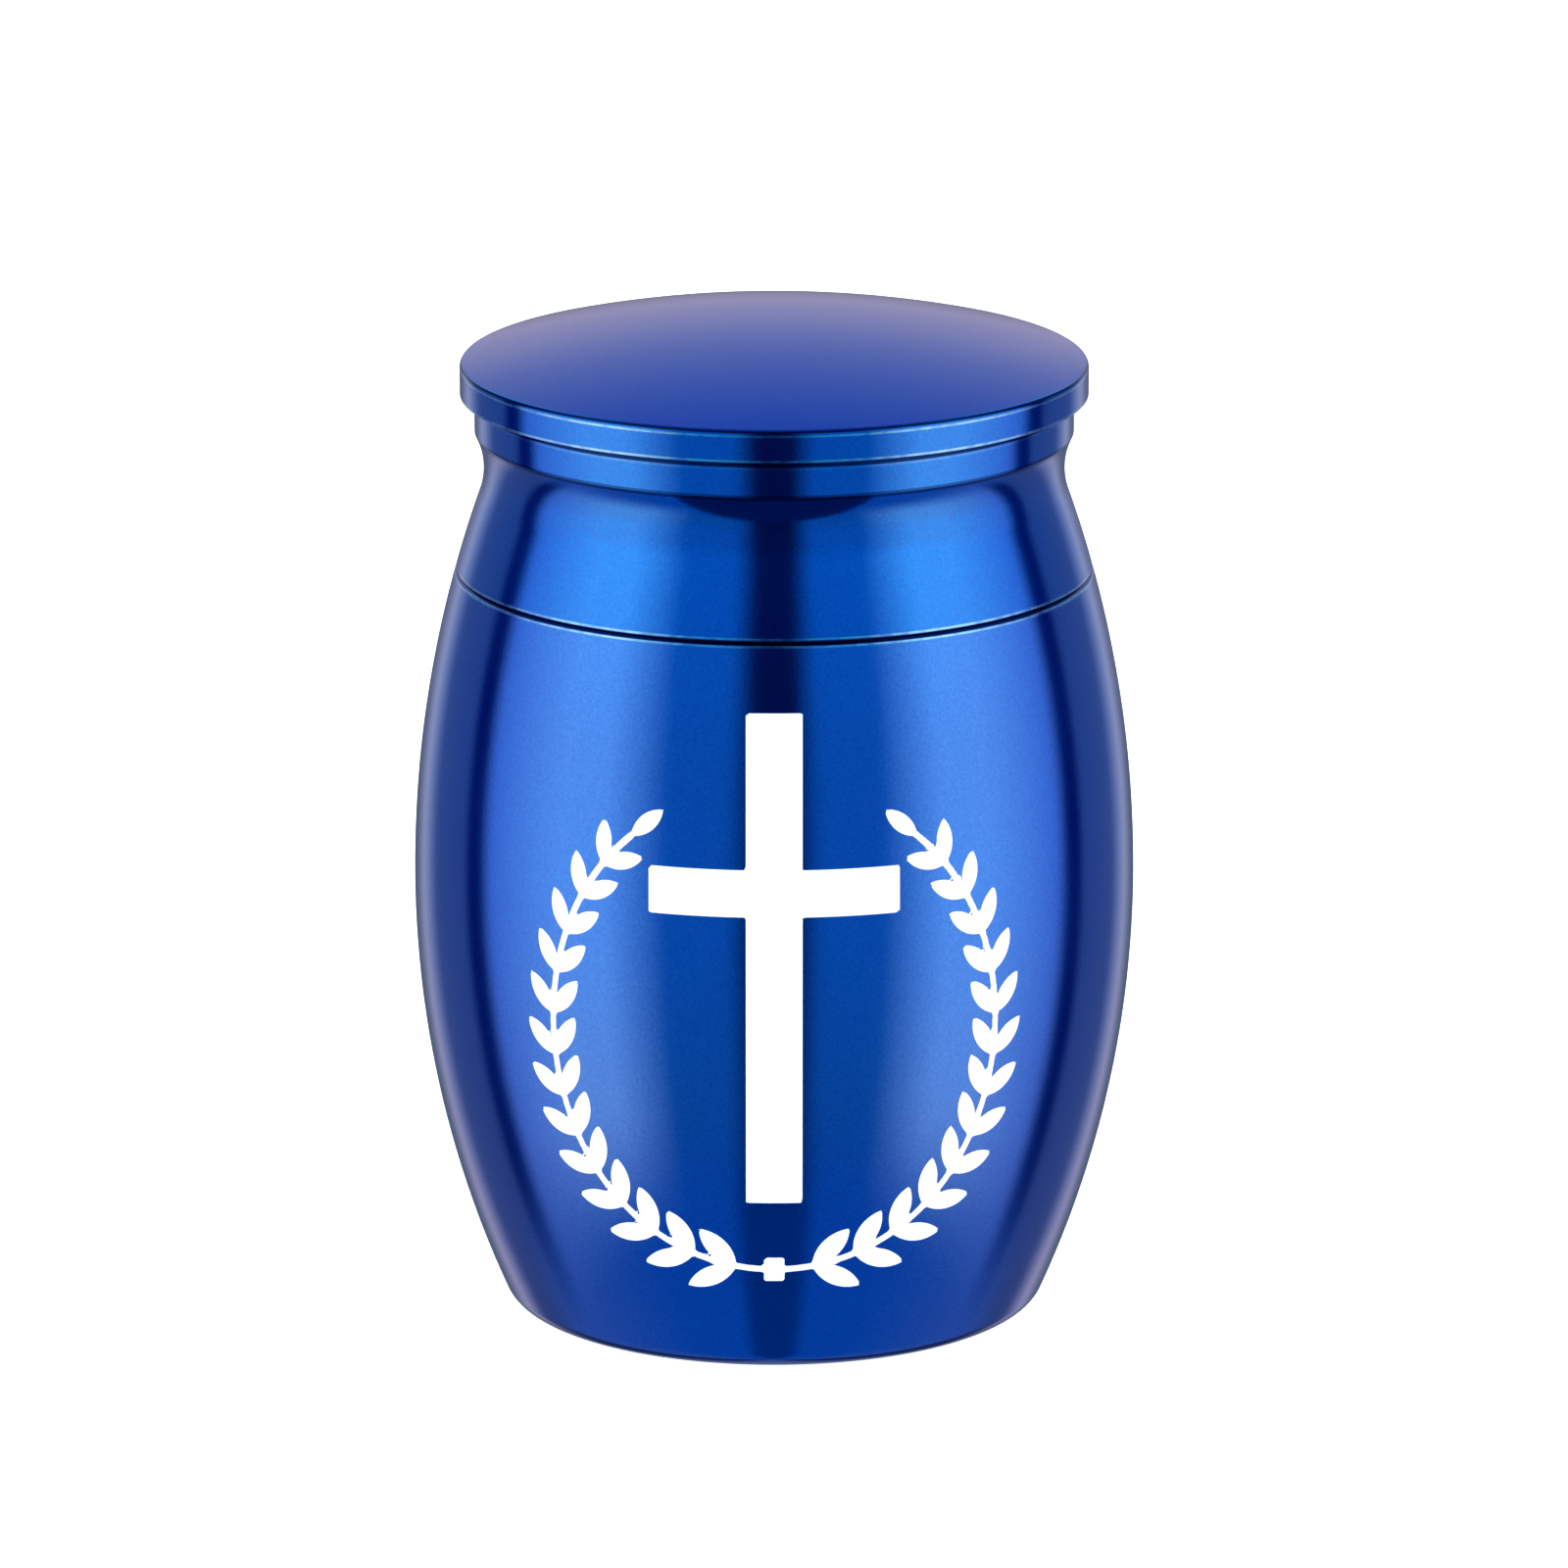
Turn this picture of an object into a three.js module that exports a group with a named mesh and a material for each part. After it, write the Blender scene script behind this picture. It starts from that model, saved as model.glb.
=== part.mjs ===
// A small keepsake urn turned from aluminium: a hollow barrel-shaped body with an open mouth, and a
// lid that screws into it. The lid is one turned piece with a shoulder, a grooved neck, a ring and a
// domed disc. Millimetres, +Z up along the turning axis, origin at the middle of the underside.

import * as THREE from 'three';

// Driving dimensions of the outside, in millimetres
const BELLY_RADIUS = 15;
const BELLY_HEIGHT = 18.4;
const LOWER_CURVE = 44.3;
const UPPER_CURVE = 48.7;
const FOOT_CURVE = 1.2;
const SEAM_HEIGHT = 31.42;
const NECK_RADIUS = 12.03;
const GROOVE_CURVE = 3.4;
const RING_RADIUS = 12.4;
const DISC_RADIUS = 13;
const DISC_UNDERSIDE = 38.85;
const RIM_HEIGHT = 1.35;
const DOME_RISE = 1.78;
const EDGE_BREAK = 0.12;

// Driving dimensions of the inside: a straight bore, and the lid's hollow spigot
const BORE_RADIUS = 10.9;
const FLOOR_THICKNESS = 2.2;
const BORE_CORNER = 1.5;
const SPIGOT_CLEARANCE = 0.3;
const SPIGOT_DEPTH = 5;
const SPIGOT_WALL = 2;
const LID_HOLLOW_TOP = 37.6;

// Fineness of the turned surfaces
const TURN_SEGMENTS = 72;
const LOWER_STEPS = 8;
const UPPER_STEPS = 6;
const SHOULDER_STEPS = 2;
const GROOVE_STEPS = 6;
const DOME_STEPS = 6;
const CORNER_STEPS = 4;

// Points of an arc in the profile plane, from one angle to another about a centre
function arc(centre, radius, from, to, steps) {
  return Array.from({ length: steps + 1 }, (_, i) => {
    const angle = from + ((to - from) * i) / steps;
    return new THREE.Vector2(
      centre.x + radius * Math.cos(angle),
      centre.y + radius * Math.sin(angle),
    );
  });
}

// The two arcs of the barrel meet at the belly, where both run upright
const lowerCentre = new THREE.Vector2(BELLY_RADIUS - LOWER_CURVE, BELLY_HEIGHT);
const upperCentre = new THREE.Vector2(BELLY_RADIUS - UPPER_CURVE, BELLY_HEIGHT);

// The foot's small arc touches the underside and the lower arc of the barrel
const footReach = LOWER_CURVE - FOOT_CURVE;
const footDrop = FOOT_CURVE - BELLY_HEIGHT;
const footCentre = new THREE.Vector2(
  lowerCentre.x + Math.sqrt(footReach ** 2 - footDrop ** 2),
  FOOT_CURVE,
);
const footAngle = Math.asin(footDrop / footReach);

// The neck's hollow arc touches the upper arc of the barrel and ends at the ring's lower edge
const grooveReach = UPPER_CURVE + GROOVE_CURVE;
const grooveCentreX = NECK_RADIUS + GROOVE_CURVE;
const grooveAngle = Math.acos((grooveCentreX - upperCentre.x) / grooveReach);
const grooveCentre = new THREE.Vector2(
  grooveCentreX,
  BELLY_HEIGHT + grooveReach * Math.sin(grooveAngle),
);
const grooveEnd = Math.PI - Math.acos((grooveCentreX - RING_RADIUS) / GROOVE_CURVE);

// The upper arc is parted at the seam between the body and the lid
const seamAngle = Math.asin((SEAM_HEIGHT - BELLY_HEIGHT) / UPPER_CURVE);
const seamRadius = upperCentre.x + UPPER_CURVE * Math.cos(seamAngle);
const breakAngle = EDGE_BREAK / UPPER_CURVE;

// The dome is a shallow cap on the disc
const domeBase = DISC_UNDERSIDE + RIM_HEIGHT;
const domeEdge = DISC_RADIUS - EDGE_BREAK;
const domeCurve = (domeEdge ** 2 + DOME_RISE ** 2) / (2 * DOME_RISE);
const domeCentre = new THREE.Vector2(0, domeBase + DOME_RISE - domeCurve);
const domeAngle = Math.acos(domeEdge / domeCurve);

function bodyProfile() {
  const cornerCentre = new THREE.Vector2(BORE_RADIUS - BORE_CORNER, FLOOR_THICKNESS + BORE_CORNER);
  return [
    new THREE.Vector2(0, 0),
    ...arc(footCentre, FOOT_CURVE, -Math.PI / 2, footAngle, CORNER_STEPS),
    ...arc(lowerCentre, LOWER_CURVE, footAngle, 0, LOWER_STEPS).slice(1),
    ...arc(upperCentre, UPPER_CURVE, 0, seamAngle - breakAngle, UPPER_STEPS).slice(1),
    new THREE.Vector2(seamRadius - EDGE_BREAK, SEAM_HEIGHT),
    new THREE.Vector2(BORE_RADIUS + EDGE_BREAK, SEAM_HEIGHT),
    new THREE.Vector2(BORE_RADIUS, SEAM_HEIGHT - EDGE_BREAK),
    ...arc(cornerCentre, BORE_CORNER, 0, -Math.PI / 2, CORNER_STEPS),
    new THREE.Vector2(0, FLOOR_THICKNESS),
  ];
}

function lidProfile() {
  const spigotRadius = BORE_RADIUS - SPIGOT_CLEARANCE;
  const hollowRadius = spigotRadius - SPIGOT_WALL;
  const spigotEnd = SEAM_HEIGHT - SPIGOT_DEPTH;
  return [
    new THREE.Vector2(0, LID_HOLLOW_TOP),
    new THREE.Vector2(hollowRadius, LID_HOLLOW_TOP),
    new THREE.Vector2(hollowRadius, spigotEnd),
    new THREE.Vector2(spigotRadius - EDGE_BREAK, spigotEnd),
    new THREE.Vector2(spigotRadius, spigotEnd + EDGE_BREAK),
    new THREE.Vector2(spigotRadius, SEAM_HEIGHT),
    new THREE.Vector2(seamRadius - EDGE_BREAK, SEAM_HEIGHT),
    ...arc(upperCentre, UPPER_CURVE, seamAngle + breakAngle, grooveAngle, SHOULDER_STEPS),
    ...arc(grooveCentre, GROOVE_CURVE, Math.PI + grooveAngle, grooveEnd, GROOVE_STEPS).slice(1),
    new THREE.Vector2(RING_RADIUS, DISC_UNDERSIDE),
    new THREE.Vector2(DISC_RADIUS - EDGE_BREAK, DISC_UNDERSIDE),
    new THREE.Vector2(DISC_RADIUS, DISC_UNDERSIDE + EDGE_BREAK),
    new THREE.Vector2(DISC_RADIUS, domeBase - EDGE_BREAK),
    ...arc(domeCentre, domeCurve, domeAngle, Math.PI / 2, DOME_STEPS).slice(0, -1),
    new THREE.Vector2(0, domeBase + DOME_RISE),
  ];
}

// A profile turned once about the upright axis
function turned(name, profile, material) {
  const geometry = new THREE.LatheGeometry(profile, TURN_SEGMENTS);
  geometry.rotateX(Math.PI / 2);
  const mesh = new THREE.Mesh(geometry, material);
  mesh.name = name;
  return mesh;
}

function blueAnodisedAluminium() {
  return new THREE.MeshStandardMaterial({ color: 0x1450b4, roughness: 0.3, metalness: 1 });
}

const urn = new THREE.Group();
urn.add(turned('urn_body', bodyProfile(), blueAnodisedAluminium()));
urn.add(turned('screw_lid', lidProfile(), blueAnodisedAluminium()));

export default urn;
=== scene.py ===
"""A small keepsake urn of turned, blue-anodised aluminium, with a white print on its front."""

import bpy
import numpy as np
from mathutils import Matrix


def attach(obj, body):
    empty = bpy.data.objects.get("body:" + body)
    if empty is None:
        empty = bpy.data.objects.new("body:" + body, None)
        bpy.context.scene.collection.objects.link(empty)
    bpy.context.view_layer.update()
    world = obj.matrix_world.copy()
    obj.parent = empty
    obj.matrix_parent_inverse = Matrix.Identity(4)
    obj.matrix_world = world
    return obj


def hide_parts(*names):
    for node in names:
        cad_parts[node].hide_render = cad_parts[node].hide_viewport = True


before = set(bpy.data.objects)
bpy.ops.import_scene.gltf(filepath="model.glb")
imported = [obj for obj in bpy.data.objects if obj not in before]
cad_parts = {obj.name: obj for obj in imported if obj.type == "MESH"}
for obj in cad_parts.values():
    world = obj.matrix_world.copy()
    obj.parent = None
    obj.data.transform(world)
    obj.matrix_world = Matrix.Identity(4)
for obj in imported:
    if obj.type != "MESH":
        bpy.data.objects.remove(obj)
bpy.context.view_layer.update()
MM = 0.001

# Camera
# A long lens about half a metre in front of the urn looks down on it by some fifteen degrees.
# The urn stands a little left of the middle of the square picture.
CAMERA_DISTANCE = 476.98
CAMERA_HEIGHT = 148.45
CAMERA_PITCH = 0.2590
FRAME_PIXELS = 1600
FOCAL_PIXELS = 12078
OFF_CENTRE_PIXELS = 10
SENSOR_WIDTH = 36
NEAR_CLIP = 10

camera = bpy.data.objects.new("camera", bpy.data.cameras.new("camera"))
bpy.context.scene.collection.objects.link(camera)
camera.location = (0, -CAMERA_DISTANCE * MM, CAMERA_HEIGHT * MM)
camera.rotation_euler = (np.pi / 2 - CAMERA_PITCH, 0, 0)
camera.data.sensor_width = SENSOR_WIDTH
camera.data.lens = SENSOR_WIDTH * FOCAL_PIXELS / FRAME_PIXELS
camera.data.shift_x = OFF_CENTRE_PIXELS / FRAME_PIXELS
camera.data.clip_start = NEAR_CLIP * MM
bpy.context.scene.camera = camera
bpy.context.scene.view_settings.view_transform = "Standard"
bpy.context.scene.view_settings.look = "None"


# Light tent and floor
# The urn stands on pale paper inside a white tent, which shows in its gloss as it does on polished
# metal: a dark gap at the camera, a bright panel each side, a dark slit behind each, and a backdrop.
WHITE_TENT = 1.12
TENT_STRENGTH = 1.6
HALF_TURN = 180
DARK_GAP = "#101840"
BLUE_GEL = "#2878A8"
WHITE_PANEL = "#F0E8F0"
PANEL_FALL_OFF = "#90A0D0"
DARK_SLIT = "#001858"
DIM_CLOTH = "#506088"
PALE_CLOTH = "#B0B0C0"

# The tent runs from the camera, at 0 degrees, round to the back, at 180, alike on both sides. Cloth lit
# through blue gel lies between the gap and the panel, and keeps the shades of the metal deep.
TENT_ROUND = [
    (7, DARK_GAP), (15, BLUE_GEL), (35, BLUE_GEL), (56, WHITE_PANEL), (72, WHITE_PANEL),
    (102, PANEL_FALL_OFF), (108, DARK_SLIT), (114, DARK_SLIT), (118, DIM_CLOTH), (138, DIM_CLOTH),
    (152, PALE_CLOTH), (166, DIM_CLOTH),
]

# Heights run up from straight down, at 0 degrees, to overhead, at 180. The tent glows warm near the
# table and cool near the top.
WARM_GLOW = "#F0D0C8"
PLAIN_GLOW = "#E0E0E0"
COOL_GLOW = "#D0F8F8"
GLOW_UPWARDS = [(55, WARM_GLOW), (80, PLAIN_GLOW), (92, PLAIN_GLOW), (122, COOL_GLOW)]

# The backdrop closes the tent at the back: the table's end, a dim skirting, and pale cloth that
# turns blue towards the top.
BACKDROP_FROM = 144
BACKDROP_FULL = 174
TABLE_END = "#686878"
SKIRTING = "#485060"
PALE_BACKDROP = "#888098"
BLUE_BACKDROP = "#485890"
BACKDROP_UPWARDS = [
    (54, TABLE_END), (68, SKIRTING), (76, SKIRTING), (92, PALE_BACKDROP), (104, PALE_BACKDROP),
    (136, BLUE_BACKDROP),
]

# The table lies under it all: it shows blue in front, as dim as the cloth at the sides, and dark behind.
TABLE_EDGE = (-30, -48)
TABLE_SHADE = "#003860"
TABLE_FRONT = "#185888"
DARK_TABLE = "#182438"
TABLE_ROUND = [
    (12, TABLE_SHADE), (18, TABLE_FRONT), (50, TABLE_FRONT), (100, DIM_CLOTH), (118, DIM_CLOTH),
    (144, DARK_TABLE), (158, DARK_TABLE), (174, TABLE_END),
]
OVERHEAD_FADE = (46, 60)
OVERHEAD = "#304070"
FLOOR_HALF_WIDTH = 2000
FLOOR_GLOW = 0.9
PAPER_COLOUR = "#F6F6F6"
PAPER_ROUGHNESS = 0.9


def linear(colour):
    """An sRGB hex colour as linear red, green, blue and alpha."""
    channels = np.array([int(colour[i : i + 2], 16) for i in (1, 3, 5)]) / 255
    bright = ((channels + 0.055) / 1.055) ** 2.4
    return (*np.where(channels <= 0.04045, channels / 12.92, bright), 1)


def add_node(tree, kind, links=(), **settings):
    """Adds a node. links maps its inputs to sockets or plain values; settings are its own properties."""
    node = tree.nodes.new(kind)
    for name, value in settings.items():
        setattr(node, name, value)
    for name, value in dict(links).items():
        if isinstance(value, bpy.types.NodeSocket):
            tree.links.new(value, node.inputs[name])
        else:
            node.inputs[name].default_value = value
    return node


def tent_band(tree, stops, turned):
    """The tent's colour along a half turn, from stops of (degrees, colour)."""
    ramp = add_node(tree, "ShaderNodeValToRGB", {"Fac": turned})
    while len(ramp.color_ramp.elements) < len(stops):
        ramp.color_ramp.elements.new(0.5)
    for element, (degrees, colour) in zip(ramp.color_ramp.elements, stops):
        element.position = degrees / HALF_TURN
        element.color = linear(colour)
    return ramp.outputs["Color"]


def fade_between(tree, height, degrees):
    """Zero at the first elevation and one at the second, with a smooth step between. height is the
    sine of the elevation."""
    start, end = np.sin(np.radians(degrees))
    fade = add_node(
        tree,
        "ShaderNodeMapRange",
        {"Value": height, "From Min": start, "From Max": end},
        interpolation_type="SMOOTHSTEP",
    )
    return fade.outputs["Result"]


def mix_colours(tree, share, first, second):
    """The first colour, giving way to the second as share goes from zero to one."""
    mix = add_node(tree, "ShaderNodeMix", {0: share, 6: first, 7: second}, data_type="RGBA")
    return mix.outputs[2]


tent = bpy.data.worlds.new("light_tent")
bpy.context.scene.world = tent
tent.use_nodes = True
tent.cycles.sampling_method = "NONE"
tree = tent.node_tree
tree.nodes.clear()
direction = add_node(tree, "ShaderNodeTexCoord").outputs["Generated"]
part = add_node(tree, "ShaderNodeSeparateXYZ", {"Vector": direction})
height = part.outputs["Z"]
sideways = add_node(tree, "ShaderNodeMath", {0: part.outputs["X"]}, operation="ABSOLUTE")
forward = add_node(tree, "ShaderNodeMath", {0: part.outputs["Y"], 1: -1.0}, operation="MULTIPLY")
turn = add_node(
    tree, "ShaderNodeMath", {0: sideways.outputs[0], 1: forward.outputs[0]}, operation="ARCTAN2"
)
azimuth = add_node(
    tree, "ShaderNodeMath", {0: turn.outputs[0], 1: np.pi}, operation="DIVIDE"
).outputs[0]
elevation = add_node(tree, "ShaderNodeMath", {0: height}, operation="ARCSINE")
rise = add_node(
    tree, "ShaderNodeMath", {0: elevation.outputs[0], 1: 1 / np.pi, 2: 0.5}, operation="MULTIPLY_ADD"
)
glow = tent_band(tree, GLOW_UPWARDS, rise.outputs[0])
lit_cloth = add_node(
    tree,
    "ShaderNodeMix",
    {0: 1.0, 6: tent_band(tree, TENT_ROUND, azimuth), 7: glow},
    data_type="RGBA",
    blend_type="MULTIPLY",
)
behind = add_node(
    tree,
    "ShaderNodeMapRange",
    {
        "Value": azimuth,
        "From Min": BACKDROP_FROM / HALF_TURN,
        "From Max": BACKDROP_FULL / HALF_TURN,
    },
    interpolation_type="SMOOTHSTEP",
)
backdrop = tent_band(tree, BACKDROP_UPWARDS, rise.outputs[0])
cloth = mix_colours(tree, behind.outputs["Result"], lit_cloth.outputs[2], backdrop)
table = tent_band(tree, TABLE_ROUND, azimuth)
cloth = mix_colours(tree, fade_between(tree, height, TABLE_EDGE), cloth, table)
cloth = mix_colours(tree, fade_between(tree, height, OVERHEAD_FADE), cloth, linear(OVERHEAD))
in_gloss = add_node(tree, "ShaderNodeBackground", {"Color": cloth, "Strength": TENT_STRENGTH})
elsewhere = add_node(tree, "ShaderNodeBackground", {"Color": (1, 1, 1, 1), "Strength": WHITE_TENT})
ray = add_node(tree, "ShaderNodeLightPath")
chosen = add_node(
    tree,
    "ShaderNodeMixShader",
    {0: ray.outputs["Is Glossy Ray"], 1: elsewhere.outputs[0], 2: in_gloss.outputs[0]},
)
add_node(tree, "ShaderNodeOutputWorld", {"Surface": chosen.outputs[0]})

floor_mesh = bpy.data.meshes.new("floor")
floor_corners = FLOOR_HALF_WIDTH * np.array([(-1, -1, 0), (1, -1, 0), (1, 1, 0), (-1, 1, 0)])
floor_mesh.from_pydata((floor_corners * MM).tolist(), [], [(0, 1, 2, 3)])
floor = bpy.data.objects.new("floor", floor_mesh)
bpy.context.scene.collection.objects.link(floor)
floor.visible_glossy = False
paper = bpy.data.materials.new("white_paper")
paper.use_nodes = True
paper_shader = paper.node_tree.nodes["Principled BSDF"]
paper_shader.inputs["Base Color"].default_value = linear(PAPER_COLOUR)
paper_shader.inputs["Roughness"].default_value = PAPER_ROUGHNESS
paper_shader.inputs["Specular IOR Level"].default_value = 0.0
paper_shader.inputs["Emission Color"].default_value = (1, 1, 1, 1)
paper_shader.inputs["Emission Strength"].default_value = FLOOR_GLOW
floor_mesh.materials.append(paper)

# Dark flag
# A small card of dark felt, half an ellipse, lies close before the neck. It shows only in the gloss,
# where the hollow under the ring reflects it as a dark lens. It has one face, and is clear from below.
FLAG_HEIGHT = 30
FLAG_HALF_WIDTH = 7.8
FLAG_LENGTH = 9
FLAG_NEAR = 14
FLAG_POINTS = 32
FELT_COLOUR = "#0B2450"

flag_mesh = bpy.data.meshes.new("flag")
round_front = np.linspace(np.pi, 2 * np.pi, FLAG_POINTS)
flag_corners = np.stack(
    [
        FLAG_HALF_WIDTH * np.cos(round_front),
        FLAG_LENGTH * np.sin(round_front) - FLAG_NEAR,
        np.full(FLAG_POINTS, FLAG_HEIGHT),
    ],
    1,
)
flag_mesh.from_pydata((flag_corners * MM).tolist(), [], [tuple(range(FLAG_POINTS))])
flag = bpy.data.objects.new("flag", flag_mesh)
bpy.context.scene.collection.objects.link(flag)
flag.visible_camera = False
flag.visible_diffuse = False
flag.visible_shadow = False
felt = bpy.data.materials.new("dark_felt")
felt.use_nodes = True
tree = felt.node_tree
tree.nodes.clear()
felt_glow = add_node(tree, "ShaderNodeEmission", {"Color": linear(FELT_COLOUR)})
clear = add_node(tree, "ShaderNodeBsdfTransparent")
side = add_node(tree, "ShaderNodeNewGeometry")
one_sided = add_node(
    tree,
    "ShaderNodeMixShader",
    {0: side.outputs["Backfacing"], 1: felt_glow.outputs[0], 2: clear.outputs[0]},
)
add_node(tree, "ShaderNodeOutputMaterial", {"Surface": one_sided.outputs[0]})
flag_mesh.materials.append(felt)


# Urn body
# The body is one cup turned from aluminium bar: a barrel of two arcs on a flat foot, bored straight
# and threaded inside its mouth, then anodised and dyed blue. The front carries a flat white print.
BELLY_RADIUS = 15
BELLY_HEIGHT = 18.4
LOWER_CURVE = 44.3
UPPER_CURVE = 48.7
FOOT_CURVE = 1.2
SEAM_HEIGHT = 31.42
SEAM_GAP = 0.16
SEAM_GAP_DEPTH = 0.14
SEAM_EDGE = 0.05
BORE_RADIUS = 10.9
FLOOR_THICKNESS = 2.2
BORE_CORNER = 1.5
MOUTH_BREAK = 0.12
THREAD_LENGTH = 4.4
THREAD_PITCH = 0.8
THREAD_DEPTH = 0.3
THREAD_FADE = 0.4
THREAD_ROWS_A_TURN = 8
PRINT_LOW = 3.4
PRINT_HIGH = 29.2
PRINT_HALF_ANGLE = np.radians(50)
FINE_STEP = 0.15
COARSE_TURN = np.radians(2)
UNDERSIDE_STEPS = 5
FOOT_STEPS = 10
BELOW_PRINT_STEPS = 5
ABOVE_PRINT_STEPS = 6
SEAM_EDGE_STEPS = 6
FLAT_STEPS = 4
MOUTH_STEPS = 3
BORE_CORNER_STEPS = 8
SAME_PLACE = 1e-6


def arc(centre, radius, start, end, count):
    """Points (radius, height) on a circle in the profile plane, from one angle to another."""
    angle = np.linspace(start, end, count)
    return np.stack([centre[0] + radius * np.cos(angle), centre[1] + radius * np.sin(angle)], 1)


def line(start, end, count):
    """Evenly spaced points on a straight stretch of the profile."""
    return np.linspace(start, end, count)


def inner_round(centre, radius, small, height):
    """Centre of a small arc that touches a big arc from inside at a height, and the angle of the touch."""
    reach = radius - small
    angle = np.arcsin((height - centre[1]) / reach)
    return (centre[0] + reach * np.cos(angle), height), angle


def profile_normals(points):
    """Outward normals of a profile that runs up the outside: each is square to its neighbours' chord."""
    chord = np.gradient(points, axis=0)
    chord[0] = points[1] - points[0]
    chord[-1] = points[-1] - points[-2]
    normal = np.stack([chord[:, 1], -chord[:, 0]], 1)
    return normal / np.linalg.norm(normal, axis=1, keepdims=True)


def without_repeats(points):
    """The profile with no two neighbouring points in one place."""
    step = np.linalg.norm(np.diff(points, axis=0), axis=1)
    return points[np.concatenate([[True], step > SAME_PLACE])]


def thread_wave(height, angle, low, high):
    """A V thread between two heights: a triangle wave of height and turn, faded out at both ends."""
    turns = (height / THREAD_PITCH - angle / (2 * np.pi)) % 1
    ends = np.clip(np.minimum(height - low, high - height) / THREAD_FADE, 0, 1)
    return (1 - np.abs(2 * turns - 1)) * ends


def turned_mesh(name, profile, angles, offset):
    """Revolves a profile whose two ends lie on the axis. A vertex is at (r cos a, r sin a, z), where r
    is the profile's radius plus offset(r, z, a). Returns the mesh, with the outline's own normals."""
    normal = profile_normals(profile)
    radius, height = profile[1:-1, :1], profile[1:-1, 1:]
    turned_radius = radius + offset(radius, height, angles[None, :])
    rings = np.stack(
        [
            turned_radius * np.cos(angles),
            turned_radius * np.sin(angles),
            np.broadcast_to(height, turned_radius.shape),
        ],
        -1,
    )
    ring_normals = np.stack(
        [
            normal[1:-1, :1] * np.cos(angles),
            normal[1:-1, :1] * np.sin(angles),
            np.broadcast_to(normal[1:-1, 1:], turned_radius.shape),
        ],
        -1,
    )
    rows, columns = turned_radius.shape
    index = np.arange(rows * columns).reshape(rows, columns) + 1
    following = np.roll(index, -1, axis=1)
    quads = np.stack([index[:-1], following[:-1], following[1:], index[1:]], -1).reshape(-1, 4)
    last = rows * columns + 1
    bottom = np.stack([np.zeros(columns, int), following[0], index[0]], -1)
    top = np.stack([np.full(columns, last), index[-1], following[-1]], -1)
    ends = np.array([[0, 0, profile[0, 1]], [0, 0, profile[-1, 1]]])
    end_normals = np.sign(normal[[0, -1], 1])[:, None] * np.array([[0, 0, 1.0]])
    vertices = np.concatenate([ends[:1], rings.reshape(-1, 3), ends[1:]])
    vertex_normals = np.concatenate([end_normals[:1], ring_normals.reshape(-1, 3), end_normals[1:]])
    mesh = bpy.data.meshes.new(name)
    mesh.from_pydata((vertices * MM).tolist(), [], quads.tolist() + bottom.tolist() + top.tolist())
    mesh.polygons.foreach_set("use_smooth", np.ones(len(mesh.polygons), bool))
    mesh.normals_split_custom_set_from_vertices(vertex_normals.tolist())
    return mesh


lower_centre = (BELLY_RADIUS - LOWER_CURVE, BELLY_HEIGHT)
upper_centre = (BELLY_RADIUS - UPPER_CURVE, BELLY_HEIGHT)
foot_centre, foot_angle = inner_round(lower_centre, LOWER_CURVE, FOOT_CURVE, FOOT_CURVE)
body_top = SEAM_HEIGHT - SEAM_GAP / 2
body_edge_centre, body_edge_angle = inner_round(
    upper_centre, UPPER_CURVE, SEAM_EDGE, body_top - SEAM_EDGE
)
seam_radius = body_edge_centre[0]
gap_floor = seam_radius - SEAM_GAP_DEPTH
bore_corner_centre = (BORE_RADIUS - BORE_CORNER, FLOOR_THICKNESS + BORE_CORNER)
thread_end = SEAM_HEIGHT - THREAD_LENGTH
print_low_angle = np.arcsin((PRINT_LOW - BELLY_HEIGHT) / LOWER_CURVE)
print_high_angle = np.arcsin((PRINT_HIGH - BELLY_HEIGHT) / UPPER_CURVE)
lower_rows = int((BELLY_HEIGHT - PRINT_LOW) / FINE_STEP)
upper_rows = int((PRINT_HIGH - BELLY_HEIGHT) / FINE_STEP)
thread_rows = int(THREAD_LENGTH / THREAD_PITCH * THREAD_ROWS_A_TURN)
body_profile = without_repeats(
    np.concatenate(
        [
            line((0, 0), (foot_centre[0], 0), UNDERSIDE_STEPS),
            arc(foot_centre, FOOT_CURVE, -np.pi / 2, foot_angle, FOOT_STEPS),
            arc(lower_centre, LOWER_CURVE, foot_angle, print_low_angle, BELOW_PRINT_STEPS),
            arc(lower_centre, LOWER_CURVE, print_low_angle, 0, lower_rows),
            arc(upper_centre, UPPER_CURVE, 0, print_high_angle, upper_rows),
            arc(upper_centre, UPPER_CURVE, print_high_angle, body_edge_angle, ABOVE_PRINT_STEPS),
            arc(body_edge_centre, SEAM_EDGE, body_edge_angle, np.pi / 2, SEAM_EDGE_STEPS),
            line((seam_radius, body_top), (gap_floor, SEAM_HEIGHT), FLAT_STEPS),
            line((gap_floor, SEAM_HEIGHT), (BORE_RADIUS + MOUTH_BREAK, SEAM_HEIGHT), MOUTH_STEPS),
            line((BORE_RADIUS, SEAM_HEIGHT - MOUTH_BREAK), (BORE_RADIUS, thread_end), thread_rows),
            line((BORE_RADIUS, thread_end), (BORE_RADIUS, bore_corner_centre[1]), FLAT_STEPS),
            arc(bore_corner_centre, BORE_CORNER, 0, -np.pi / 2, BORE_CORNER_STEPS),
            line((bore_corner_centre[0], FLOOR_THICKNESS), (0, FLOOR_THICKNESS), FLAT_STEPS),
        ]
    )
)
fine_turn = FINE_STEP / BELLY_RADIUS
front = -np.pi / 2
fine_angles = np.arange(front - PRINT_HALF_ANGLE, front + PRINT_HALF_ANGLE, fine_turn)
rest_count = int((2 * np.pi - 2 * PRINT_HALF_ANGLE) / COARSE_TURN)
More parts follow.
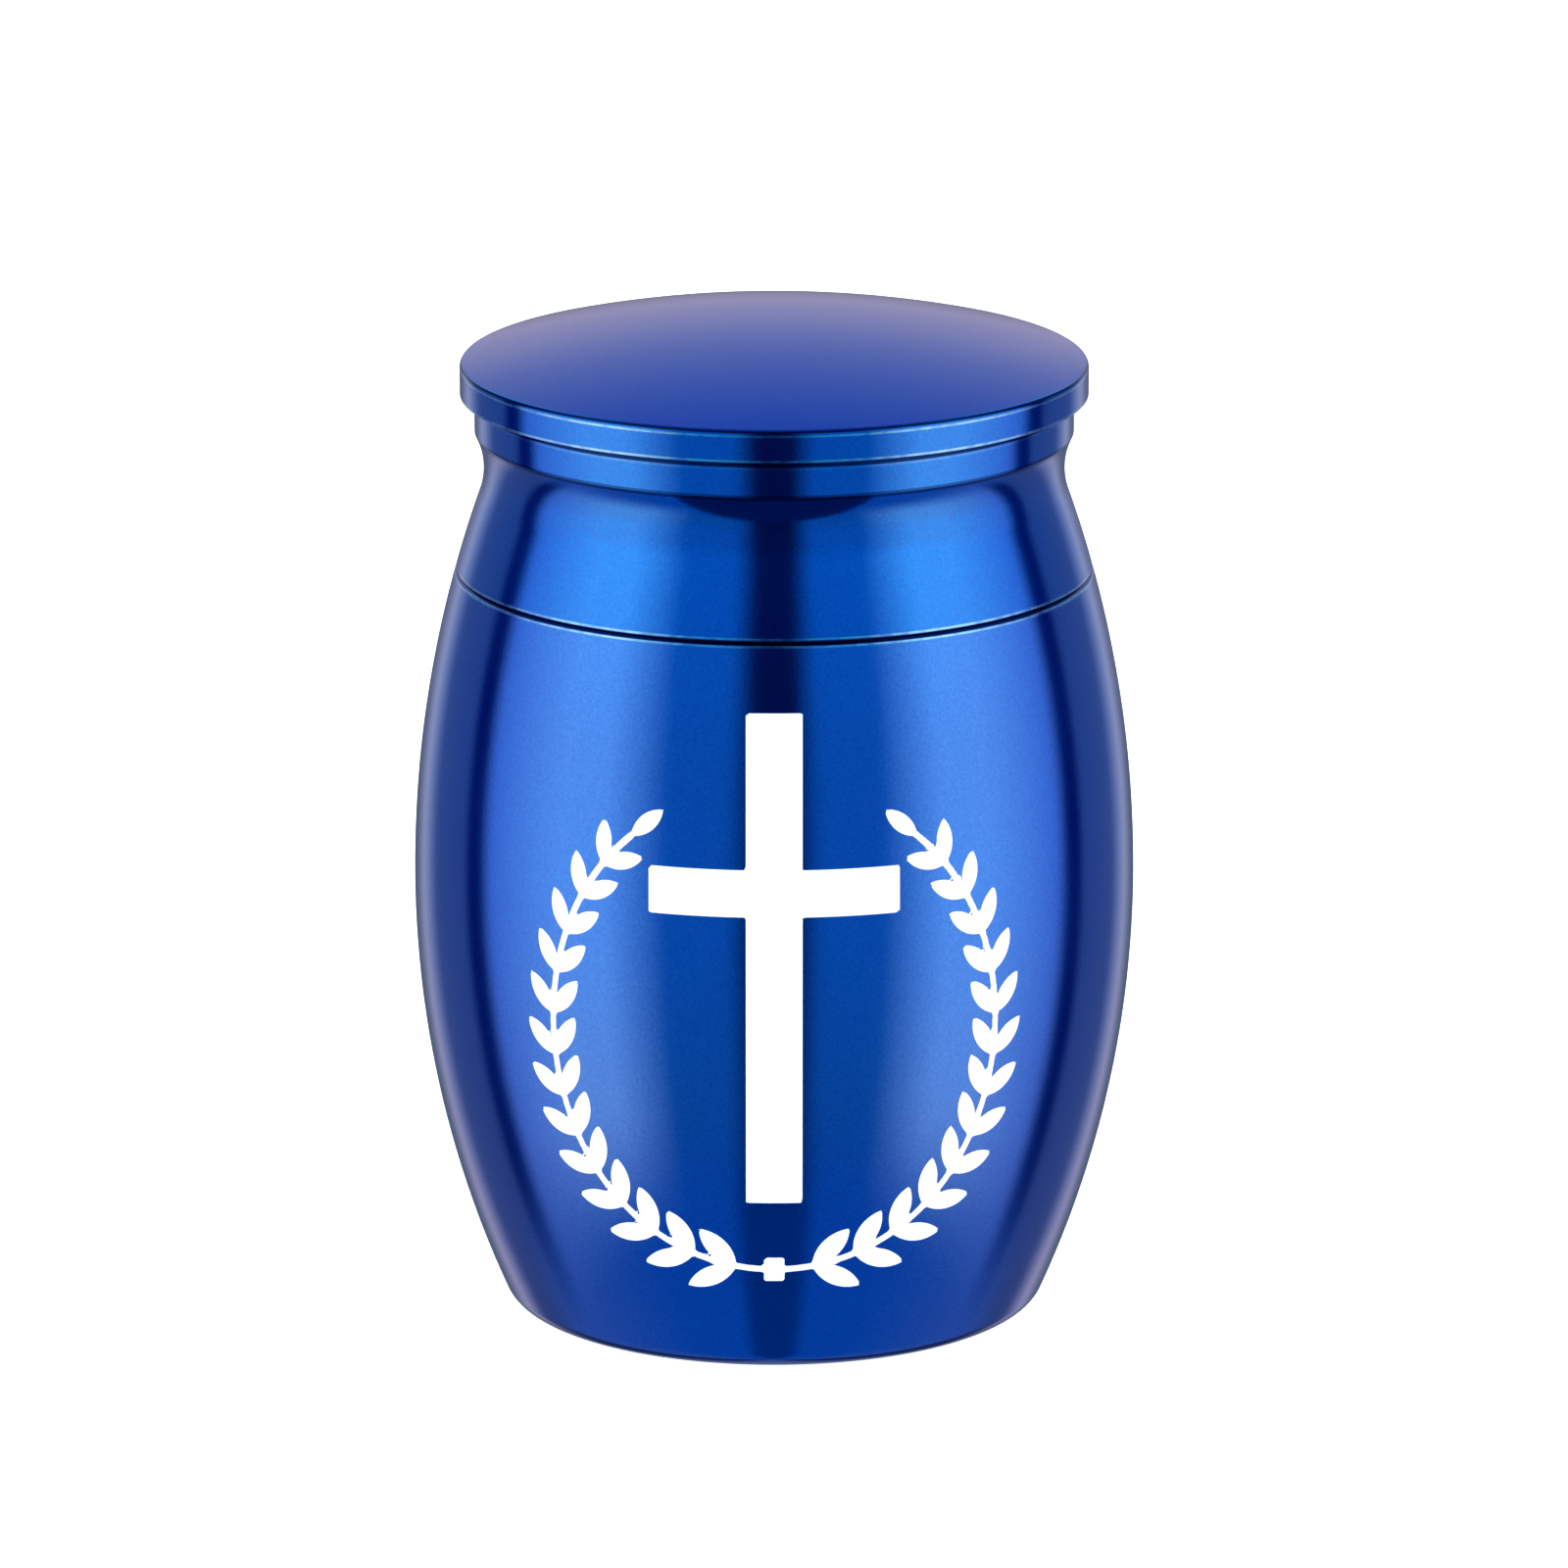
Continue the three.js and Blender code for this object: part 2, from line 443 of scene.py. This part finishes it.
rest_angles = np.linspace(
    front + PRINT_HALF_ANGLE, front - PRINT_HALF_ANGLE + 2 * np.pi, rest_count, endpoint=False
)
body_angles = np.concatenate([fine_angles, rest_angles])


def mouth_thread(radius, height, angle):
    """Cuts the mouth's thread outwards into the bore."""
    in_bore = np.abs(radius - BORE_RADIUS) < SAME_PLACE
    wave = thread_wave(height, angle, thread_end, SEAM_HEIGHT - MOUTH_BREAK)
    return np.where(in_bore, THREAD_DEPTH * wave, 0)


body_mesh = turned_mesh("urn_body_turned", body_profile, body_angles, mouth_thread)
urn_body = bpy.data.objects.new("urn_body_turned", body_mesh)
bpy.context.scene.collection.objects.link(urn_body)
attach(urn_body, "root")
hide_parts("urn_body")

# Printed ornament
# A plain cross in an open wreath of two laurel sprays, screen-printed in white ink flat on the front.
# It is colour only: each vertex keeps its distance inside the ornament's edge, in millimetres.
CROSS_TOP = 28.7
CROSS_BOTTOM = 8.0
CROSS_WIDTH = 2.3
CROSS_ARM_HEIGHT = 21.4
CROSS_ARM_REACH = 5.2
CROSS_ARM_WIDTH = 1.95
WREATH_MIDDLE = 15.3
WREATH_HALF_WIDTH = 9.7
WREATH_HALF_HEIGHT = 10.4
WREATH_START = np.radians(-102)
WREATH_END = np.radians(52)
STEM_HALF_WIDTH = 0.14
STEM_POINTS = 240
LEAF_PAIRS = 13
FIRST_LEAVES = 3.6
LEAF_LENGTH = 2.35
LEAF_WIDTH = 0.9
LEAF_SPREAD = np.radians(37)
LEAF_TAPER = 0.22
TIE_HALF_WIDTH = 0.42
TIE_HALF_HEIGHT = 0.55
NO_PRINT = -1.0
CLEAR_OF_BORE = 0.5


def box_distance(u, v, middle, half):
    """Signed distance from a rectangle: inside it is negative."""
    beyond_u = np.abs(u - middle[0]) - half[0]
    beyond_v = np.abs(v - middle[1]) - half[1]
    outside = np.hypot(np.maximum(beyond_u, 0), np.maximum(beyond_v, 0))
    return outside + np.minimum(np.maximum(beyond_u, beyond_v), 0)


def leaf_distance(u, v, base, turn, length, width):
    """Signed distance from a pointed leaf, where two equal circles cross. It starts at its base."""
    middle = base + length / 2 * np.array([np.cos(turn), np.sin(turn)])
    along = np.abs((u - middle[0]) * np.cos(turn) + (v - middle[1]) * np.sin(turn))
    across = np.abs((v - middle[1]) * np.cos(turn) - (u - middle[0]) * np.sin(turn))
    shift = (length**2 - width**2) / (4 * width)
    radius = shift + width / 2
    near_tip = (along - length / 2) * shift > across * length / 2
    side = np.hypot(along, across + shift) - radius
    return np.where(near_tip, np.hypot(along - length / 2, across), side)


def wreath_point(angle):
    """A point on the right-hand spray's stem, which follows an ellipse."""
    return np.array(
        [WREATH_HALF_WIDTH * np.cos(angle), WREATH_MIDDLE + WREATH_HALF_HEIGHT * np.sin(angle)]
    )


def ornament_distance(u, v):
    """Signed distance from the whole ornament, which is its own mirror image about u = 0."""
    u = np.abs(u)
    stem_angle = np.linspace(WREATH_START, WREATH_END, STEM_POINTS)
    stem = wreath_point(stem_angle)
    stem_step = np.linalg.norm(np.diff(stem, axis=1), axis=0)
    stem_length = np.concatenate([[0], np.cumsum(stem_step)])
    upright_middle = (CROSS_TOP + CROSS_BOTTOM) / 2
    upright_half = (CROSS_TOP - CROSS_BOTTOM) / 2
    shapes = [
        box_distance(u, v, (0, upright_middle), (CROSS_WIDTH / 2, upright_half)),
        box_distance(u, v, (0, CROSS_ARM_HEIGHT), (CROSS_ARM_REACH, CROSS_ARM_WIDTH / 2)),
        box_distance(
            u, v, (0, WREATH_MIDDLE - WREATH_HALF_HEIGHT), (TIE_HALF_WIDTH, TIE_HALF_HEIGHT)
        ),
    ]
    for side in (1, -1):
        to_stem = np.hypot(side * u[..., None] - stem[0], v[..., None] - stem[1])
        shapes.append(to_stem.min(-1) - STEM_HALF_WIDTH)
    leaf_places = np.linspace(FIRST_LEAVES, stem_length[-1], LEAF_PAIRS + 1)
    for place in leaf_places:
        angle = np.interp(place, stem_length, stem_angle)
        base = wreath_point(angle)
        heading = np.arctan2(
            WREATH_HALF_HEIGHT * np.cos(angle), -WREATH_HALF_WIDTH * np.sin(angle)
        )
        scale = 1 - LEAF_TAPER * place / stem_length[-1]
        # A pair of leaves leans out from the stem, and one leaf straight on ends it.
        sides = (1, -1) if place < leaf_places[-1] else (0,)
        for side in sides:
            turn = heading + side * LEAF_SPREAD
            shapes.append(
                leaf_distance(u, v, base, turn, LEAF_LENGTH * scale, LEAF_WIDTH * scale)
            )
    return np.minimum.reduce(shapes)


places = np.empty(len(body_mesh.vertices) * 3)
body_mesh.vertices.foreach_get("co", places)
places = places.reshape(-1, 3) / MM
around = (np.arctan2(places[:, 1], places[:, 0]) - front + np.pi) % (2 * np.pi) - np.pi
from_axis = np.hypot(places[:, 0], places[:, 1])
printable = (
    (np.abs(around) < PRINT_HALF_ANGLE)
    & (places[:, 2] > PRINT_LOW)
    & (places[:, 2] < PRINT_HIGH)
    & (from_axis > BORE_RADIUS + CLEAR_OF_BORE)
)
ink_depth = np.full(len(places), NO_PRINT)
ink_depth[printable] = -ornament_distance(
    (around * from_axis)[printable], places[printable, 2]
)
body_mesh.attributes.new("ink_depth", "FLOAT", "POINT").data.foreach_set("value", ink_depth)


# Anodised aluminium
# Aluminium turned on a lathe, anodised, dyed royal blue and sealed. It gives soft-edged reflections,
# a fine grain from the oxide, faint turning rings, and a pale sheen at grazing angles from the film.
NOISE_DETAIL = 2.0

# The grain and the rings are drawn coarser than they are on the metal, so that they show.
GRAIN_SIZE = 0.12
FINE_GRAIN_SHARE = 0.6
RING_PITCH = 0.35
RING_SHARE = 0.3
BUMP_DEPTH = 0.004
BUMP_STRENGTH = 0.5

# The polish varies in broad clouds. A span is the stretch of the noise that a change runs over.
CLOUD_SIZE = 6.0
CLOUD_SPAN = (0.3, 0.7)
SMOOTHEST = 0.11
ROUGHEST = 0.14
FILM_ROUGHNESS = 0.08

# Pale, rougher lines at the edges, broken into patches, are partly handling wear and partly painted
# glints, laid where the edges catch the light. Dark lines are painted shade in the corners and grooves,
# and on the lid's rim a painted dark reflection. A mark is a height, a half-width and a strength.
WEAR_PATCH = 0.5
WEAR_DETAIL = 1.0
WEAR_SPAN = (0.35, 0.55)
LEAST_WEAR = 0.5
WORN_AND_GLINT_COLOUR = "#A4E4FF"
WORN_AND_GLINT_ROUGHNESS = 0.22
PAINTED_DARK_COLOUR = "#021044"
MARK_BLUR = 0.03
# A pale line under the seam, partly wear and partly a painted glint.
BODY_WORN_AND_GLINT_EDGES = [(body_top - 0.05, 0.05, 1.0)]
# A painted shade line in the seam's groove.
SEAM_PAINTED_SHADE = (SEAM_HEIGHT, SEAM_GAP / 2, 0.7)


def height_marks(tree, height, marks):
    """A mark's strength where the height, in millimetres, is within its half-width of its middle;
    elsewhere zero."""
    total = 0.0
    for middle, half_width, strength in marks:
        away = add_node(tree, "ShaderNodeMath", {0: height, 1: middle}, operation="SUBTRACT")
        away = add_node(tree, "ShaderNodeMath", {0: away.outputs[0]}, operation="ABSOLUTE")
        mark = add_node(
            tree,
            "ShaderNodeMapRange",
            {
                "Value": away.outputs[0],
                "From Min": half_width + MARK_BLUR / 2,
                "From Max": half_width - MARK_BLUR / 2,
                "To Max": strength,
            },
        )
        total = add_node(
            tree, "ShaderNodeMath", {0: total, 1: mark.outputs["Result"]}, operation="MAXIMUM"
        ).outputs[0]
    return total


def blue_anodised_aluminium(name, deep_dye, light_dye, worn_and_glint_edges, painted_dark_lines):
    """The blue finish, whose dye varies in the grain between two colours, with two lists of marks: pale
    lines that are partly wear and partly painted glints, and dark lines that are painted shade and
    painted dark reflections. Returns the material, its main shader node, and its colour and roughness."""
    material = bpy.data.materials.new(name)
    material.use_nodes = True
    tree = material.node_tree
    shader = tree.nodes["Principled BSDF"]
    place = add_node(tree, "ShaderNodeTexCoord").outputs["Object"]
    grain = add_node(
        tree,
        "ShaderNodeTexNoise",
        {
            "Vector": place,
            "Scale": 1 / (GRAIN_SIZE * MM),
            "Detail": NOISE_DETAIL,
            "Roughness": FINE_GRAIN_SHARE,
        },
    )
    cloud = add_node(
        tree,
        "ShaderNodeTexNoise",
        {"Vector": place, "Scale": 1 / (CLOUD_SIZE * MM), "Detail": NOISE_DETAIL},
    )
    height = add_node(tree, "ShaderNodeSeparateXYZ", {"Vector": place}).outputs["Z"]
    height = add_node(tree, "ShaderNodeMath", {0: height, 1: 1 / MM}, operation="MULTIPLY").outputs[0]
    rings = add_node(
        tree,
        "ShaderNodeTexNoise",
        {"W": height, "Scale": 1 / RING_PITCH, "Detail": NOISE_DETAIL},
        noise_dimensions="1D",
    )
    roughness = add_node(
        tree,
        "ShaderNodeMapRange",
        {
            "Value": cloud.outputs["Fac"],
            "From Min": CLOUD_SPAN[0],
            "From Max": CLOUD_SPAN[1],
            "To Min": SMOOTHEST,
            "To Max": ROUGHEST,
        },
    )
    rings_share = add_node(
        tree, "ShaderNodeMath", {0: rings.outputs["Fac"], 1: RING_SHARE}, operation="MULTIPLY"
    )
    surface = add_node(
        tree,
        "ShaderNodeMath",
        {0: grain.outputs["Fac"], 1: rings_share.outputs[0]},
        operation="ADD",
    )
    bump = add_node(
        tree,
        "ShaderNodeBump",
        {"Height": surface.outputs[0], "Strength": BUMP_STRENGTH, "Distance": BUMP_DEPTH * MM},
    )
    patches = add_node(
        tree,
        "ShaderNodeTexNoise",
        {"Vector": place, "Scale": 1 / (WEAR_PATCH * MM), "Detail": WEAR_DETAIL},
    )
    patches = add_node(
        tree,
        "ShaderNodeMapRange",
        {
            "Value": patches.outputs["Fac"],
            "From Min": WEAR_SPAN[0],
            "From Max": WEAR_SPAN[1],
            "To Min": LEAST_WEAR,
        },
    )
    # The pale lines: partly wear, partly painted glints, paler in colour and rougher.
    worn_and_glint = add_node(
        tree,
        "ShaderNodeMath",
        {0: height_marks(tree, height, worn_and_glint_edges), 1: patches.outputs["Result"]},
        operation="MULTIPLY",
    )
    roughness = add_node(
        tree,
        "ShaderNodeMix",
        {0: worn_and_glint.outputs[0], 2: roughness.outputs["Result"], 3: WORN_AND_GLINT_ROUGHNESS},
        data_type="FLOAT",
    )
    colour = mix_colours(tree, grain.outputs["Fac"], linear(deep_dye), linear(light_dye))
    colour = mix_colours(tree, worn_and_glint.outputs[0], colour, linear(WORN_AND_GLINT_COLOUR))
    # Painted shade, and on the lid's rim a painted dark reflection: the dark lines darken the colour and
    # take away the film's gloss.
    shade = height_marks(tree, height, painted_dark_lines)
    colour = mix_colours(tree, shade, colour, linear(PAINTED_DARK_COLOUR))
    film = add_node(tree, "ShaderNodeMapRange", {"Value": shade, "To Min": 1.0, "To Max": 0.0})
    shader.inputs["Metallic"].default_value = 1.0
    shader.inputs["Coat Roughness"].default_value = FILM_ROUGHNESS
    tree.links.new(film.outputs["Result"], shader.inputs["Coat Weight"])
    tree.links.new(colour, shader.inputs["Base Color"])
    tree.links.new(roughness.outputs[0], shader.inputs["Roughness"])
    tree.links.new(bump.outputs["Normal"], shader.inputs["Normal"])
    return material, shader, colour, roughness.outputs[0]


# The white ink is dense and matt, and lies flush with the metal under the same clear film, so it
# shows as a flat white with a faint gloss over it.
INK_COLOUR = "#FAFAFA"
INK_ROUGHNESS = 0.55
INK_EDGE = 0.015
DEEP_BODY_DYE = "#2369D4"
LIGHT_BODY_DYE = "#3C9EFF"

body_finish, body_shader, metal_colour, metal_roughness = blue_anodised_aluminium(
    "blue_anodised_aluminium_printed", DEEP_BODY_DYE, LIGHT_BODY_DYE, BODY_WORN_AND_GLINT_EDGES, [SEAM_PAINTED_SHADE]
)
tree = body_finish.node_tree
depth = add_node(tree, "ShaderNodeAttribute", attribute_name="ink_depth").outputs["Fac"]
ink = add_node(
    tree,
    "ShaderNodeMapRange",
    {"Value": depth, "From Min": -INK_EDGE, "From Max": INK_EDGE},
).outputs["Result"]
ink_colour = mix_colours(tree, ink, metal_colour, linear(INK_COLOUR))
tree.links.new(ink_colour, body_shader.inputs["Base Color"])
metal = add_node(tree, "ShaderNodeMath", {0: 1.0, 1: ink}, operation="SUBTRACT")
tree.links.new(metal.outputs[0], body_shader.inputs["Metallic"])
ink_roughness = add_node(
    tree, "ShaderNodeMix", {0: ink, 2: metal_roughness, 3: INK_ROUGHNESS}, data_type="FLOAT"
)
tree.links.new(ink_roughness.outputs[0], body_shader.inputs["Roughness"])
body_mesh.materials.append(body_finish)

# Screw lid
# The lid is one turned piece: a shoulder that carries on the barrel's curve, a soft hollow neck, a
# narrow ring, and a disc with a shallow domed top. A hollow threaded spigot screws into the mouth.
NECK_RADIUS = 12.03
GROOVE_CURVE = 3.4
RING_RADIUS = 12.4
RING_EDGE = 0.12
DISC_RADIUS = 13
DISC_UNDERSIDE = 38.85
RIM_HEIGHT = 1.35
EDGE_BREAK = 0.12
RIM_TOP_EDGE = 0.25
RIM_EDGE = 0.03
DOME_RISE = 1.78
SPIGOT_CLEARANCE = 0.3
SPIGOT_DEPTH = 5
SPIGOT_WALL = 2
LID_HOLLOW_TOP = 37.6
LID_TURN_STEPS = 256
SHOULDER_STEPS = 16
GROOVE_STEPS = 28
LID_EDGE_STEPS = 8
LID_FACE_STEPS = 6
RIM_TOP_STEPS = 16
DOME_STEPS = 48
DEEP_LID_DYE = "#0068D4"
LIGHT_LID_DYE = "#009CFF"

lid_foot = SEAM_HEIGHT + SEAM_GAP / 2
lid_edge_centre, lid_edge_angle = inner_round(
    upper_centre, UPPER_CURVE, SEAM_EDGE, lid_foot + SEAM_EDGE
)
groove_reach = UPPER_CURVE + GROOVE_CURVE
groove_x = NECK_RADIUS + GROOVE_CURVE
groove_angle = np.arccos((groove_x - upper_centre[0]) / groove_reach)
groove_centre = (groove_x, BELLY_HEIGHT + groove_reach * np.sin(groove_angle))
ring_edge_x = RING_RADIUS - RING_EDGE
ring_edge_angle = np.arccos((ring_edge_x - groove_x) / (GROOVE_CURVE + RING_EDGE))
ring_edge_centre = (
    ring_edge_x,
    groove_centre[1] + (GROOVE_CURVE + RING_EDGE) * np.sin(ring_edge_angle),
)
under_edge_centre = (DISC_RADIUS - RIM_EDGE, DISC_UNDERSIDE + RIM_EDGE)
dome_foot = DISC_UNDERSIDE + RIM_HEIGHT
dome_foot_radius = DISC_RADIUS - EDGE_BREAK
dome_curve = (dome_foot_radius**2 + DOME_RISE**2) / (2 * DOME_RISE)
dome_centre = (0, dome_foot + DOME_RISE - dome_curve)
rim_edge_x = DISC_RADIUS - RIM_TOP_EDGE
rim_edge_angle = np.arccos(rim_edge_x / (dome_curve - RIM_TOP_EDGE))
rim_edge_centre = (
    rim_edge_x,
    dome_centre[1] + (dome_curve - RIM_TOP_EDGE) * np.sin(rim_edge_angle),
)
spigot_radius = BORE_RADIUS - SPIGOT_CLEARANCE
hollow_radius = spigot_radius - SPIGOT_WALL
spigot_end = SEAM_HEIGHT - SPIGOT_DEPTH
lid_profile = without_repeats(
    np.concatenate(
        [
            line((0, LID_HOLLOW_TOP), (hollow_radius, LID_HOLLOW_TOP), FLAT_STEPS),
            line((hollow_radius, LID_HOLLOW_TOP), (hollow_radius, spigot_end), FLAT_STEPS),
            line((hollow_radius, spigot_end), (spigot_radius - MOUTH_BREAK, spigot_end), MOUTH_STEPS),
            line((spigot_radius, spigot_end + MOUTH_BREAK), (spigot_radius, SEAM_HEIGHT), thread_rows),
            line((spigot_radius, SEAM_HEIGHT), (gap_floor, SEAM_HEIGHT), FLAT_STEPS),
            line((gap_floor, SEAM_HEIGHT), (lid_edge_centre[0], lid_foot), FLAT_STEPS),
            arc(lid_edge_centre, SEAM_EDGE, -np.pi / 2, lid_edge_angle, SEAM_EDGE_STEPS),
            arc(upper_centre, UPPER_CURVE, lid_edge_angle, groove_angle, SHOULDER_STEPS),
            arc(groove_centre, GROOVE_CURVE, np.pi + groove_angle, ring_edge_angle, GROOVE_STEPS),
            arc(ring_edge_centre, RING_EDGE, ring_edge_angle - np.pi, 0, LID_EDGE_STEPS),
            line((RING_RADIUS, ring_edge_centre[1]), (RING_RADIUS, DISC_UNDERSIDE), LID_FACE_STEPS),
            line((RING_RADIUS, DISC_UNDERSIDE), (under_edge_centre[0], DISC_UNDERSIDE), FLAT_STEPS),
            arc(under_edge_centre, RIM_EDGE, -np.pi / 2, 0, LID_EDGE_STEPS),
            line(
                (DISC_RADIUS, under_edge_centre[1]), (DISC_RADIUS, rim_edge_centre[1]), LID_FACE_STEPS
            ),
            arc(rim_edge_centre, RIM_TOP_EDGE, 0, rim_edge_angle, RIM_TOP_STEPS),
            arc(dome_centre, dome_curve, rim_edge_angle, np.pi / 2, DOME_STEPS),
        ]
    )
)


def spigot_thread(radius, height, angle):
    """Cuts the spigot's thread inwards into its outside."""
    on_spigot = np.abs(radius - spigot_radius) < SAME_PLACE
    wave = thread_wave(height, angle, spigot_end + MOUTH_BREAK, SEAM_HEIGHT)
    return np.where(on_spigot, -THREAD_DEPTH * wave, 0)


lid_angles = np.linspace(0, 2 * np.pi, LID_TURN_STEPS, endpoint=False)
lid_mesh = turned_mesh("screw_lid_turned", lid_profile, lid_angles, spigot_thread)
screw_lid = bpy.data.objects.new("screw_lid_turned", lid_mesh)
bpy.context.scene.collection.objects.link(screw_lid)

# Pale lines above the seam, at the rim's two edges and near the top of the ring's face are partly wear
# and partly painted glints. Dark lines are painted shade at the seam, in the corner over the ring and at
# the ring's lower edge, and a painted dark reflection on the rim's top.
lid_worn_and_glint_edges = [
    (lid_foot + 0.07, 0.06, 1.0),
    (dome_foot - 0.24, 0.045, 1.0),
    (DISC_UNDERSIDE + 0.075, 0.05, 1.0),
    (DISC_UNDERSIDE - 0.38, 0.045, 0.22),
]
lid_painted_dark_lines = [
    SEAM_PAINTED_SHADE,
    (dome_foot - 0.08, 0.045, 0.9),
    (DISC_UNDERSIDE - 0.19, 0.12, 0.88),
    (ring_edge_centre[1] - 0.05, 0.12, 0.6),
]
lid_finish = blue_anodised_aluminium(
    "blue_anodised_aluminium", DEEP_LID_DYE, LIGHT_LID_DYE, lid_worn_and_glint_edges, lid_painted_dark_lines
)[0]
lid_mesh.materials.append(lid_finish)
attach(screw_lid, "root")
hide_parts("screw_lid")
